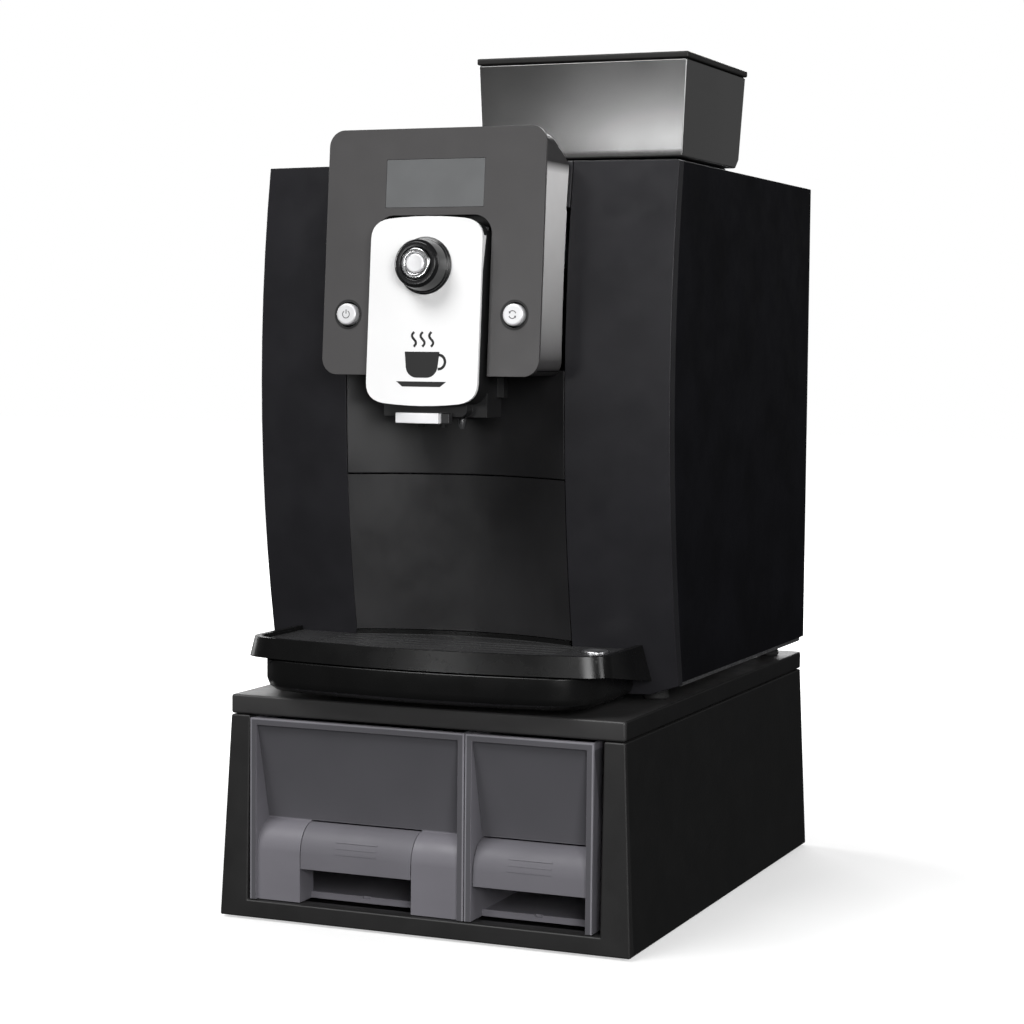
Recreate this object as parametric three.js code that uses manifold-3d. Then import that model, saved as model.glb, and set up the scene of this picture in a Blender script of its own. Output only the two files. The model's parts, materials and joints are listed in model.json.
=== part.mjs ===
// Hot coffee vending machine: a bean-to-cup machine standing on a base cabinet with two push-flap bins.
// Millimetres, +Z up. The machine faces -Y. The pieces are drawn in a bench frame whose y = 0 is the
// lower front edge of the base cabinet; the whole assembly is then moved so that the origin is the
// centre of its footprint.
import * as THREE from 'three';
import { mergeVertices } from 'three/addons/utils/BufferGeometryUtils.js';
import Module from 'manifold-3d';

const wasm = await Module();
wasm.setup();

// ---------------------------------------------------------------- driving dimensions
const GAP = 0.35; // air between pieces that meet
const SKIN = 2.5; // wall of the moulded covers
const FAR = 500; // reach of a cutting block

const BASE_DEPTH = 407;
const BASE_HALF_BOTTOM = 149.7;
const BASE_HALF_TOP = 143.2;
const BASE_LEAN = 3.8; // how far the front of the base leans back over its height
const BASE_FOOT_H = 1.6;
const CABINET_TOP = 140.2;
const LID_BOTTOM = 140.8;
const LID_TOP = 154;
const OPENING_HALF = 128.6;
const OPENING_FLOOR = 13.7;

const BIN_FRONT = 2;
const BIN_BACK = 252;
const BIN_FLOOR = 14.2;
const BIN_TOP = 138.9;
const BIN_RIM = 4.6;
const BIN_SETBACK = 22; // y of the foot of the sloping window
const BIN_SILL = 18.8; // top of the low sill under the push flap
const NOSE_Y = 4.5; // y of the bullnose front
const NOSE_FOOT = 48; // z where the bullnose turns vertical
const NOSE_TOP = 67.5;
const FLAP_FOOT = 37.6;
const FLAP_AXIS = [20.5, 64.2]; // y, z of the flap pins
const FLAP_PIN_R = 1.4;
const LEFT_BIN = { x0: -127.4, x1: 31.6, flap0: -90.6, flap1: -7.4 };
const RIGHT_BIN = { x0: 32.4, x1: 122.4, flap0: 37, flap1: 117.8 };

const BODY_HALF = 151;
const BODY_TOP = 515;
const BODY_BACK = 386;
const PANEL_FOOT = 168.6;
const MACHINE_FOOT_H = 11;
const CHASSIS_Z = 165.3;

const FASCIA_Y = 47.5; // y of the face on the centre line at its fullest height
const FASCIA_FULL_Z = 370;
const FASCIA_RISE_R = 835; // radius of the face seen from the side
const FASCIA_PLAN_R = 911; // radius of the face seen from above
const FASCIA_FOOT = 160.5;
const FASCIA_RETURN = 9.5;
const FASCIA_WALL = 3;
const FASCIA_BEAM_Z = 484; // underside of the top beam
const BAY_HALF = 80;
const BAY_SPLIT = 304;
const BAY_FOOT = 195.6;
const BAY_CEILING = 372.8;
const BAY_MID_Y = 84.5; // y of the hollow of the bay wall at the split

const TILT_DEGREES = 4.09; // lean of the display panel and the spout plate
const TILT = THREE.MathUtils.degToRad(TILT_DEGREES);
const DISPLAY_HALF = 78.2;
const DISPLAY_FOOT = [10.4, 372.8]; // y, z of the lower front edge
const DISPLAY_LENGTH = 162.8;
const DISPLAY_T = 2.4;
const CHANNEL_HALF = 42;
const CHANNEL_TOP = 478.5;
const CHANNEL_BACK = 46.5;
const BUTTON_X = 60;
const BUTTON_UP = 40; // along the leaning panel
const BUTTON_R = 7.25;
const BUTTON_HOLE_R = 8.5;
const LCD = { half: 35.5, low: 110.5, high: 142.5, corner: 0.8 };

const PLATE_FOOT = [-1.4, 353];
const PLATE_HALF = 40;
const PLATE_LENGTH = 124.1;
const PLATE_T = 2.6;
const SPOUT_FOOT = 344.5;
const KNOB_UP = 91.7;
const KNOB_LENGTH = 15.5;

const TRAY_NOSE = -18; // y of the lower front edge of the rim
const TRAY_ARC_R = 500;
const TRAY_HALF = 131.5; // half width along the lower edge of the rim
const TRAY_FLARE = 2.5; // the rim is this much narrower on each side at the top
const TRAY_BACK = 120;
const TRAY_TOP = 194.7;
const TRAY_SKIRT = 181.4;
const TRAY_APRON = 170.3; // foot of the rim where it meets the pillars
const TRAY_PLATE = 191.9; // top of the slotted plate
const TUB_HALF = 108;
const TUB_NOSE = -9;
const TUB_FOOT = 158;
const TONGUE_HALF = 73;
const TONGUE_BACK = 182;
const FLOAT_AT = [106, 46];

const HOPPER = { x0: -61, x1: 102, y0: 230, y1: 370, low: 530, shoulder: 537, top: 600, lid: 605 };
const THROAT_AT = [20.5, 300];
const TANK = { x0: -143, x1: -77, y0: 132, y1: 376, low: 172, high: 507 };
const TANK_HINGE = [373, 512]; // y, z of the lid's pins

const INLET_AT = [98, 212]; // x, z on the back panel
const SWITCH_AT = [61.7, 212];

// ---------------------------------------------------------------- shapes
const point = ([a, b]) => new THREE.Vector2(a, b);
const outline = (points) => new THREE.Shape(points.map(point));

function block(x0, x1, y0, y1, z0, z1) {
  const geometry = new THREE.BoxGeometry(x1 - x0, y1 - y0, z1 - z0);
  return geometry.translate((x0 + x1) / 2, (y0 + y1) / 2, (z0 + z1) / 2);
}

function extrude(shape, depth, steps, curveSegments) {
  return new THREE.ExtrudeGeometry(shape, { depth, steps, curveSegments, bevelEnabled: false });
}

// A (y, z) outline swept from x0 to x1.
function alongX(shape, x0, x1, steps = 1, segments = 6) {
  const turn = new THREE.Matrix4().makeBasis(
    new THREE.Vector3(0, 1, 0), new THREE.Vector3(0, 0, 1), new THREE.Vector3(1, 0, 0));
  return extrude(shape, x1 - x0, steps, segments).applyMatrix4(turn).translate(x0, 0, 0);
}

// An (x, z) outline swept from y0 to y1.
function alongY(shape, y0, y1, segments = 6) {
  return extrude(shape, y1 - y0, 1, segments).rotateX(Math.PI / 2).translate(0, y1, 0);
}

// An (x, y) outline swept from z0 to z1.
function alongZ(shape, z0, z1, segments = 6) {
  return extrude(shape, z1 - z0, 1, segments).translate(0, 0, z0);
}

// A block whose lower and upper faces are different rectangles, each [x0, x1, y0, y1].
function taperedBlock(lower, upper, z0, z1) {
  const geometry = block(0, 1, 0, 1, z0, z1);
  const corners = geometry.attributes.position;
  for (let i = 0; i < corners.count; i += 1) {
    const [x0, x1, y0, y1] = corners.getZ(i) < (z0 + z1) / 2 ? lower : upper;
    corners.setX(i, x0 + (x1 - x0) * corners.getX(i));
    corners.setY(i, y0 + (y1 - y0) * corners.getY(i));
  }
  return geometry;
}

const grow = ([x0, x1, y0, y1], by) => [x0 - by, x1 + by, y0 - by, y1 + by];

// A profile of (radius, height) points turned about the Z axis.
function turned(profile, sides = 20) {
  return new THREE.LatheGeometry(profile.map(point), sides).rotateX(Math.PI / 2);
}

// The same, turned about the Y axis, with height running towards -Y.
function turnedToFront(profile, sides = 24) {
  return new THREE.LatheGeometry(profile.map(point), sides).rotateX(Math.PI);
}

function rod(radius, z0, z1, sides = 16) {
  return turned([[0, z0], [radius, z0], [radius, z1], [0, z1]], sides);
}

function rodAlongX(radius, x0, x1, y, z, sides = 10) {
  return rod(radius, x0, x1, sides).rotateY(Math.PI / 2).translate(0, y, z);
}

function rodAlongY(radius, y0, y1, x, z, sides = 16) {
  return rod(radius, -y1, -y0, sides).rotateX(Math.PI / 2).translate(x, 0, z);
}

function roundedRectangle(x0, x1, y0, y1, radius) {
  const shape = new THREE.Shape();
  shape.moveTo(x0 + radius, y0);
  shape.lineTo(x1 - radius, y0);
  shape.absarc(x1 - radius, y0 + radius, radius, -Math.PI / 2, 0);
  shape.lineTo(x1, y1 - radius);
  shape.absarc(x1 - radius, y1 - radius, radius, 0, Math.PI / 2);
  shape.lineTo(x0 + radius, y1);
  shape.absarc(x0 + radius, y1 - radius, radius, Math.PI / 2, Math.PI);
  shape.lineTo(x0, y0 + radius);
  shape.absarc(x0 + radius, y0 + radius, radius, Math.PI, 1.5 * Math.PI);
  return shape;
}

// Moves every corner back by a depth that depends on where it is across and up.
function setBack(geometry, depthAt) {
  const corners = geometry.attributes.position;
  for (let i = 0; i < corners.count; i += 1) {
    corners.setY(i, corners.getY(i) + depthAt(corners.getX(i), corners.getZ(i)));
  }
  return geometry;
}

// ---------------------------------------------------------------- joining and cutting
function solid(geometry) {
  const bare = geometry.clone();
  bare.deleteAttribute('normal');
  bare.deleteAttribute('uv');
  const merged = mergeVertices(bare, 1e-4);
  const vertProperties = new Float32Array(merged.attributes.position.array);
  const triVerts = new Uint32Array(merged.index.array);
  return new wasm.Manifold(new wasm.Mesh({ numProp: 3, vertProperties, triVerts }));
}

const join = (...pieces) => pieces.map(asSolid).reduce((all, next) => all.add(next));
const cut = (from, ...cutters) =>
  cutters.map(asSolid).reduce((rest, next) => rest.subtract(next), asSolid(from));
const common = (one, other) => asSolid(one).intersect(asSolid(other));

function asSolid(piece) {
  return piece.isBufferGeometry ? solid(piece) : piece;
}

function geometryOf(piece) {
  const { vertProperties, triVerts } = asSolid(piece).getMesh();
  const geometry = new THREE.BufferGeometry();
  geometry.setAttribute('position', new THREE.BufferAttribute(vertProperties, 3));
  geometry.setIndex(new THREE.BufferAttribute(triVerts, 1));
  geometry.computeVertexNormals();
  return geometry;
}

// ---------------------------------------------------------------- materials
function finish(color, roughness, metalness = 0, extra = {}) {
  return () => new THREE.MeshStandardMaterial({ color, roughness, metalness, flatShading: true, ...extra });
}

const satinBlack = finish(0x1d1c1e, 0.45);
const blackPlastic = finish(0x161618, 0.55);
const panelGrey = finish(0x58585a, 0.35);
const displayGrey = finish(0x6f7072, 0.2);
const glossWhite = finish(0xf4f4f4, 0.15);
const smokedPlastic = finish(0x5f5e64, 0.4);
const smokedGlass = finish(0x3a3a3c, 0.12);
const clearTank = finish(0xb8c4cc, 0.15, 0, { transparent: true, opacity: 0.6 });
const chrome = finish(0xd8d8da, 0.12, 1);
const steel = finish(0xa8a8a8, 0.35, 1);
const aluminium = finish(0xb5b7b9, 0.4, 1);
const brass = finish(0xb58a44, 0.35, 1);
const rubber = finish(0x202020, 0.9);
const boardGreen = finish(0x1f5a36, 0.5);

const assembly = new THREE.Group();
assembly.position.y = -(BASE_DEPTH + TRAY_NOSE) / 2;

function place(name, piece, material, parent = assembly) {
  const mesh = new THREE.Mesh(geometryOf(piece), material());
  mesh.name = name;
  parent.add(mesh);
  return mesh;
}

function leaningGroup([y, z]) {
  const group = new THREE.Group();
  group.position.set(0, y, z);
  group.rotation.x = -TILT;
  assembly.add(group);
  return group;
}

// ---------------------------------------------------------------- curved walls
const fasciaAt = (x, z) =>
  FASCIA_Y + (z - FASCIA_FULL_Z) ** 2 / (2 * FASCIA_RISE_R) + x ** 2 / (2 * FASCIA_PLAN_R);

function bayAt(x, z) {
  const middle = BAY_MID_Y + (BAY_SPLIT - z) * 0.042;
  return middle - (middle - fasciaAt(BAY_HALF, z)) * (x / BAY_HALF) ** 2;
}

// A sheet that follows a curved wall, from front to back behind it, across x0..x1 and up z0..z1.
function curvedSheet(wallAt, front, back, x0, x1, z0, z1, across = 6, rows = 8) {
  const flat = new THREE.BoxGeometry(x1 - x0, back - front, z1 - z0, across, 1, rows);
  return setBack(flat.translate((x0 + x1) / 2, (front + back) / 2, (z0 + z1) / 2), wallAt);
}

const behind = (wallAt, offset, half, z0, z1) =>
  curvedSheet(wallAt, offset, FAR, -half, half, z0, z1, 12);
const inFrontOf = (wallAt, offset, half, z0, z1) =>
  curvedSheet(wallAt, -FAR, offset, -half, half, z0, z1, 12);

// ---------------------------------------------------------------- base cabinet and bins
function buildBase() {
  const foot = [-BASE_HALF_BOTTOM, BASE_HALF_BOTTOM, 0, BASE_DEPTH];
  const head = [-BASE_HALF_TOP, BASE_HALF_TOP, BASE_LEAN, BASE_DEPTH - 1];
  const room = [-OPENING_HALF - 9, OPENING_HALF + 9, 14, BASE_DEPTH - 5];
  const cabinet = cut(
    taperedBlock(foot, head, BASE_FOOT_H, CABINET_TOP),
    taperedBlock(room, room, OPENING_FLOOR - 5, CABINET_TOP + 1),
    block(-OPENING_HALF, OPENING_HALF, -5, 20, OPENING_FLOOR, CABINET_TOP + 1));
  place('base_cabinet', cabinet, satinBlack);

  const lidBox = [-BASE_HALF_TOP, BASE_HALF_TOP, BASE_LEAN, BASE_DEPTH - 0.2];
  const lid = cut(
    taperedBlock(lidBox, lidBox, LID_BOTTOM, LID_TOP),
    taperedBlock(grow(lidBox, -4), grow(lidBox, -4), LID_BOTTOM - 1, LID_TOP - 5));
  place('base_lid', lid, satinBlack);

  const corners = [[-128, 24], [128, 24], [-128, 382], [128, 382]];
  corners.forEach(([x, y], i) => {
    const pad = rod(11, 0, BASE_FOOT_H - GAP, 16).translate(x, y, 0);
    place(`base_foot_${i + 1}`, pad, rubber);
  });
}

// The bullnose, as (y, z) points from its vertical front up to the foot of the window.
function noseCurve(inset, steps = 6) {
  const reach = BIN_SETBACK - NOSE_Y - inset;
  const rise = NOSE_TOP - NOSE_FOOT - inset;
  return Array.from({ length: steps + 1 }, (_, i) => {
    const turn = (i / steps) * (Math.PI / 2);
    return [BIN_SETBACK - reach * Math.cos(turn), NOSE_FOOT + rise * Math.sin(turn)];
  });
}

function binShell({ x0, x1, flap0, flap1 }) {
  const wall = 2.5;
  const face = outline([
    [-5, BIN_FLOOR - 5], [NOSE_Y, BIN_FLOOR - 5], ...noseCurve(0),
    [NOSE_Y + 0.5, BIN_TOP - BIN_RIM], [-5, BIN_TOP - BIN_RIM]]);
  const room = outline([
    [BIN_SETBACK + 3, BIN_FLOOR + wall], [BIN_BACK - wall, BIN_FLOOR + wall],
    [BIN_BACK - wall, BIN_TOP + 5], [BIN_RIM + 2, BIN_TOP + 5], [BIN_RIM + 3, BIN_TOP - BIN_RIM],
    [BIN_SETBACK + 3, NOSE_TOP]]);
  const cheek = outline([
    [NOSE_Y + wall, BIN_FLOOR + wall], [BIN_SETBACK + 5, BIN_FLOOR + wall],
    [BIN_SETBACK + 5, NOSE_TOP - wall], ...noseCurve(wall).reverse()]);
  const cheeks = [[x0 + wall, flap0 - wall], [flap1 + wall, x1 - wall]]
    .filter(([low, high]) => high - low > 2 * wall)
    .map(([low, high]) => alongX(cheek, low, high));
  const middle = (flap0 + flap1) / 2;
  return cut(
    block(x0, x1, BIN_FRONT, BIN_BACK, BIN_FLOOR, BIN_TOP),
    alongX(face, x0 + BIN_RIM, x1 - BIN_RIM),
    alongX(room, x0 + wall, x1 - wall),
    ...cheeks,
    block(flap0, flap1, -5, BIN_SETBACK, BIN_FLOOR - 5, NOSE_TOP + 0.6),
    block(flap0, flap1, BIN_SETBACK - 1, BIN_SETBACK + 5, BIN_SILL, NOSE_TOP + 0.6),
    block(middle - 2.5, middle + 2.5, BIN_SETBACK - 1, BIN_SETBACK + 2, BIN_SILL - 1.6, BIN_SILL + 1),
    rodAlongX(FLAP_PIN_R + GAP, flap0 - 2.2, flap1 + 2.2, ...FLAP_AXIS));
}

function pushFlap({ flap0, flap1 }) {
  const wall = 2.5;
  const skin = outline([[NOSE_Y, FLAP_FOOT], ...noseCurve(0.3), ...noseCurve(wall).reverse(),
    [NOSE_Y + wall, FLAP_FOOT]]);
  const web = outline([
    [NOSE_Y + 1, FLAP_FOOT], ...noseCurve(1), [BIN_SETBACK, FLAP_AXIS[1] - 2.5],
    [NOSE_Y + 8, FLAP_FOOT + 6]]);
  return join(
    alongX(skin, flap0 + 0.5, flap1 - 0.5),
    alongX(web, flap0 + 0.5, flap0 + 2.5),
    alongX(web, flap1 - 2.5, flap1 - 0.5),
    rodAlongX(FLAP_PIN_R, flap0 - 1.8, flap1 + 1.8, ...FLAP_AXIS));
}

function buildBins() {
  [['left', LEFT_BIN], ['right', RIGHT_BIN]].forEach(([side, bin]) => {
    place(`${side}_bin`, binShell(bin), smokedPlastic);
    place(`${side}_flap`, pushFlap(bin), smokedPlastic);
  });
}

// ---------------------------------------------------------------- machine casing
// A moulding with turned-back edges that follows the curved front of the casing.
function fasciaPiece(x0, x1, z0, z1, across, rows) {
  const sheet = (front, back, inset) => curvedSheet(
    fasciaAt, front, back, x0 + inset, x1 - inset, z0 + inset, z1 - inset, across, rows);
  return cut(sheet(0, FASCIA_RETURN, 0), sheet(FASCIA_WALL, FAR, FASCIA_WALL));
}

function buildFascia() {
  const inner = BAY_HALF + GAP;
  [['left', -1], ['right', 1]].forEach(([side, sign]) => {
    const [x0, x1] = [sign * inner, sign * BODY_HALF].sort((a, b) => a - b);
    const slantedFoot = outline([
      [sign * (BODY_HALF - 20), FASCIA_FOOT - 5], [sign * (BODY_HALF - 20), FASCIA_FOOT],
      [sign * BODY_HALF, FASCIA_FOOT + 6.6], [sign * (BODY_HALF + 5), FASCIA_FOOT - 5]]);
    const pillar = fasciaPiece(x0, x1, FASCIA_FOOT, BODY_TOP, 5, 12);
    place(`fascia_${side}`, cut(pillar, alongY(slantedFoot, -FAR, FAR)), satinBlack);
  });
  place('fascia_top', fasciaPiece(-BAY_HALF, BAY_HALF, FASCIA_BEAM_Z, BODY_TOP, 8, 2), satinBlack);
}

function buildBayCover() {
  const cover = curvedSheet(bayAt, 0, 3, -BAY_HALF, BAY_HALF, BAY_SPLIT + GAP, BAY_CEILING + 4, 14, 3);
  place('bay_cover', cover, satinBlack);
}

function buildCasing() {
  const levels = Array.from({ length: 11 }, (_, i) => PANEL_FOOT + ((BODY_TOP - PANEL_FOOT) * i) / 10);
  const seam = levels.map((z) => [fasciaAt(BODY_HALF, z) + FASCIA_RETURN + 0.8, z]);
  const side = outline([...seam, [BODY_BACK, BODY_TOP], [BODY_BACK, PANEL_FOOT]].reverse());
  place('side_panel_left', alongX(side, -BODY_HALF, -BODY_HALF + 2), satinBlack);
  place('side_panel_right', alongX(side, BODY_HALF - 2, BODY_HALF), satinBlack);

  const inner = BODY_HALF - 2 - GAP;
  const throughBack = (x0, x1, z0, z1) => block(x0, x1, BODY_BACK - 9, FAR, z0, z1);
  const window = ([x, z], halfWidth, halfHeight) =>
    throughBack(x - halfWidth, x + halfWidth, z - halfHeight, z + halfHeight);
  const slots = Array.from({ length: 9 }, (_, i) => throughBack(10, 120, 430 - 9 * i, 434 - 9 * i));
  const back = cut(
    block(-inner, inner, BODY_BACK - SKIN, BODY_BACK, PANEL_FOOT, BODY_TOP - 4),
    ...slots,
    window(INLET_AT, 14, 10),
    window(SWITCH_AT, 9.7, 7.6));
  place('back_panel', back, satinBlack);

  const top = cut(
    block(-inner, inner, 50, BODY_BACK, BODY_TOP - 3.5, BODY_TOP),
    inFrontOf(fasciaAt, FASCIA_RETURN + GAP, BODY_HALF + 5, BODY_TOP - 20, BODY_TOP + 20),
    block(TANK.x0 - 1.5, TANK.x1 + 1.5, TANK.y0 - 1.5, TANK.y1 + 1.5, 400, 600),
    rod(33, 400, 600, 24).translate(...THROAT_AT, 0));
  place('top_cover', top, satinBlack);

  const pan = cut(
    block(-inner, inner, 97, BODY_BACK - SKIN - GAP, CHASSIS_Z, CHASSIS_Z + 26),
    block(-inner + 2, inner - 2, 99, BODY_BACK - SKIN - 2.5, CHASSIS_Z + 3, 400),
    block(-TONGUE_HALF - 3, TONGUE_HALF + 3, 0, TONGUE_BACK + 6, 100, 400));
  place('chassis', pan, steel);

  [[-126, 112], [126, 112], [-126, 372], [126, 372]].forEach(([x, y], i) => {
    const neck = MACHINE_FOOT_H - GAP;
    const foot = turned([[0, 0], [8, 0], [9, 1.5], [7, 8], [7, neck], [0, neck]]);
    place(`machine_foot_${i + 1}`, foot.translate(x, y, LID_TOP + GAP / 2), rubber);
  });
}

// ---------------------------------------------------------------- display head
const displayAt = (z) => DISPLAY_FOOT[0] + (z - DISPLAY_FOOT[1]) * Math.tan(TILT);

function channelNotch(half, top, radius) {
  const notch = new THREE.Shape();
  notch.moveTo(-half, -20);
  notch.lineTo(half, -20);
  notch.lineTo(half, top - radius);
  notch.absarc(half - radius, top - radius, radius, 0, Math.PI / 2);
  notch.lineTo(-half + radius, top);
  notch.absarc(-half + radius, top - radius, radius, Math.PI / 2, Math.PI);
  return notch;
}

function buildDisplay() {
  const leaning = leaningGroup(DISPLAY_FOOT);
  const panel = cut(
    alongY(roundedRectangle(-DISPLAY_HALF, DISPLAY_HALF, 0, DISPLAY_LENGTH, 11), 0, DISPLAY_T),
    alongY(channelNotch(CHANNEL_HALF, 105.5, 13), -5, 10),
    alongY(roundedRectangle(-LCD.half, LCD.half, LCD.low, LCD.high, LCD.corner), -5, 10, 2),
    rodAlongY(BUTTON_HOLE_R, -5, 10, -BUTTON_X, BUTTON_UP, 28),
    rodAlongY(BUTTON_HOLE_R, -5, 10, BUTTON_X, BUTTON_UP, 28));
  place('display_panel', panel, panelGrey, leaning);

  const air = 0.2;
  const glass = roundedRectangle(
    -LCD.half + air, LCD.half - air, LCD.low + air, LCD.high - air, LCD.corner);
  place('lcd_window', alongY(glass, 0.1, DISPLAY_T, 2), displayGrey, leaning);

  [['power_button', -BUTTON_X], ['rinse_button', BUTTON_X]].forEach(([name, x]) => {
    const cap = turnedToFront([
      [0, -10], [4, -10], [4, -2.9], [BUTTON_R, -2.9], [BUTTON_R, 2.6], [BUTTON_R - 1, 3.4],
      [0, 3.4]]);
    place(name, cap.translate(x, 0, BUTTON_UP), chrome, leaning);
  });
}

function buildHousing() {
  const floorZ = DISPLAY_FOOT[1] + 0.4;
  const hood = [[34, 531.6], [37.5, 529.6], [40, 525], [43.5, 522.4], [52, 518.6], [60, 514]];
  const half = DISPLAY_HALF - 0.6;
  const faceOffset = DISPLAY_T / Math.cos(TILT) + GAP;
  const front = (z) => displayAt(z) + faceOffset;
  const body = outline([[front(floorZ), floorZ], [100, floorZ], [100, 500], ...hood.slice().reverse(),
    [front(531.6), 531.6]]);
  const inset = (by) => outline([
    [front(floorZ + by) + by, floorZ + by], [110, floorZ + by], [110, 500], [64, 508], [51.5, 515.8],
    [42.6, 519.8], [38.2, 523.2], [35, 529], [front(529) + by, 529]]);
  const frontRound = roundedRectangle(-half, half, floorZ - 0.2, 531.8, 10);
  const channel = { x: CHANNEL_HALF + GAP, wall: 2.4, top: CHANNEL_TOP + 1.5, back: CHANNEL_BACK };
  const shell = cut(
    common(alongX(body, -half, half), alongY(frontRound, -FAR, FAR)),
    alongX(inset(SKIN), -half + SKIN, half - SKIN));
  const channelBlock = common(
    block(-channel.x - channel.wall, channel.x + channel.wall, 0, channel.back + channel.wall,
      floorZ, channel.top + channel.wall),
    alongX(body, -half, half));
  const travel = cut(
    block(-channel.x, channel.x, -50, channel.back, floorZ - 5, channel.top),
    block(39.3, channel.x + 1, 35, 38.6, floorZ - 6, channel.top + 1),
    block(-channel.x - 1, -39.3, 35, 38.6, floorZ - 6, channel.top + 1));
  const buttonWells = [-BUTTON_X, BUTTON_X].map((x) => rodAlongY(BUTTON_HOLE_R + 0.5, 0, 45, x,
    DISPLAY_FOOT[1] + BUTTON_UP, 16));
  const housing = cut(
    join(shell, channelBlock),
    travel,
    ...buttonWells,
    block(-LCD.half - 2, LCD.half + 2, 0, 34, 482, 516),
    behind((x, z) => (z > 482 ? fasciaAt(x, z) : bayAt(x, z)), -GAP, BAY_HALF + 5, 482.1, 560),
    behind(bayAt, -GAP, BAY_HALF, 360, 482.2),
    curvedSheet(fasciaAt, -GAP, FAR, BAY_HALF - 1, BAY_HALF + 5, 360, 490, 1, 6),
    curvedSheet(fasciaAt, -GAP, FAR, -BAY_HALF - 5, -BAY_HALF + 1, 360, 490, 1, 6));
  place('display_housing', housing, blackPlastic);
}

// ---------------------------------------------------------------- spout and knob
function plateOutline(inset) {
  const half = PLATE_HALF - inset;
  const low = inset;
  const high = PLATE_LENGTH - inset;
  const corner = 13;
  const shape = new THREE.Shape();
  shape.moveTo(-half, low + corner + 2);
  shape.quadraticCurveTo(-half, low + 3.4, -half + corner, low + 1.5);
  shape.quadraticCurveTo(0, low - 1.5, half - corner, low + 1.5);
  shape.quadraticCurveTo(half, low + 3.4, half, low + corner + 2);
  shape.lineTo(half, high - corner - 2);
  shape.quadraticCurveTo(half, high - 3, half - corner, high - 1.4);
  shape.quadraticCurveTo(0, high + 1.4, -half + corner, high - 1.4);
  shape.quadraticCurveTo(-half, high - 3, -half, high - corner - 2);
  return shape;
}

function buildSpout() {
  const leaning = leaningGroup(PLATE_FOOT);
  const shaft = rodAlongY(4.4, -5, 30, 0, KNOB_UP, 16);
  const skirt = (side, extra) => {
    const wedge = outline([
      [PLATE_T - 0.1, 80 - extra], [PLATE_T + 5 + extra, 112 + extra], [PLATE_T - 0.1, 112 + extra]]);
    return alongX(wedge, side * 38 - 1.4 - extra, side * 38 + 1.4 + extra);
  };
  const plate = cut(join(alongY(plateOutline(0), 0, PLATE_T), skirt(-1, 0), skirt(1, 0)), shaft);
  place('spout_faceplate', plate, glossWhite, leaning);

  const head = cut(alongY(plateOutline(0.8), PLATE_T + GAP, 20.8), skirt(-1, 0.8), skirt(1, 0.8));
  const level = (piece) =>
    asSolid(piece).translate([0, -PLATE_FOOT[0], -PLATE_FOOT[1]]).rotate([TILT_DEGREES, 0, 0]);
  const carriage = level(block(-37.5, 37.5, 22, CHANNEL_BACK - 0.5, SPOUT_FOOT + 1, 470));
  const flange = level(
    block(-CHANNEL_HALF + 0.1, CHANNEL_HALF - 0.1, 39, CHANNEL_BACK - 0.5, SPOUT_FOOT + 14, 470));
  const chin = level(alongY(roundedRectangle(-27, 27, 345.8, 372, 5), 13, 30));
  const keel = level(alongX(outline([[14, SPOUT_FOOT + 3], [18, SPOUT_FOOT], [40, SPOUT_FOOT],
    [45, SPOUT_FOOT + 6], [45, 372], [14, 372]]), -21, 21));
  const nozzleSeat = (x, y, r) => level(rod(r, 330, 347, 14).translate(x, y, 0));
  const body = cut(
    join(head, carriage, flange, chin, keel),
    shaft,
    nozzleSeat(-8, 17.5, 3.2 + GAP), nozzleSeat(8, 17.5, 3.2 + GAP), nozzleSeat(18, 26, 3 + GAP));
  place('spout_carriage', body, blackPlastic, leaning);

  const bow = new THREE.Shape();
  bow.moveTo(-20.5, 4);
  bow.quadraticCurveTo(-4, -2.4, 11.5, 2);
  bow.lineTo(11.5, 6);
  bow.lineTo(17, 7);
  bow.lineTo(17, 12.4);
  bow.lineTo(-20.5, 12.4);
  place('spout_lip', alongZ(bow, 341.5, 348.3), chrome);

  const nozzle = [[1.8, 338.6], [2.6, 338.6], [3.2, 341], [3.2, 346.6], [1.8, 346.6], [1.8, 338.6]];
  place('coffee_nozzle_left', turned(nozzle, 14).translate(-8, 17.5, 0), blackPlastic);
  place('coffee_nozzle_right', turned(nozzle, 14).translate(8, 17.5, 0), blackPlastic);
  const tip = [[1.2, 337.6], [1.8, 337.6], [3, 341.5], [3, 346.6], [1.2, 346.6], [1.2, 337.6]];
  place('hot_water_nozzle', turned(tip, 14).translate(18, 26, 0), chrome);
}

function buildKnob() {
  const leaning = leaningGroup(PLATE_FOOT);
  const front = KNOB_LENGTH;
  const knob = turnedToFront([
    [0, -8], [4, -8], [4, GAP], [19, GAP], [19, 1.8], [18.2, 2.6], [17, 3.2], [15.7, front - 1.4],
    [14.9, front - 0.4], [13.8, front], [10.6, front], [10.6, front - 4], [6.7, front - 4],
    [6.7, front - 8], [0, front - 8]], 32);
  place('knob', knob.translate(0, 0, KNOB_UP), blackPlastic, leaning);
  const ring = turnedToFront([
    [6.7, front - 3.6], [10.2, front - 3.6], [10.2, front + 0.3], [9.5, front + 0.9], [7.4, front + 0.9],
    [6.7, front + 0.3], [6.7, front - 3.6]], 28);
  place('knob_ring', ring.translate(0, 0, KNOB_UP), chrome, leaning);
  const cap = turnedToFront([
    [0, front - 5.4], [6.3, front - 5.4], [6.3, front + 0.6], [5.6, front + 1.1], [0, front + 1.1]], 24);
  place('knob_button', cap.translate(0, 0, KNOB_UP), chrome, leaning);
}

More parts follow.
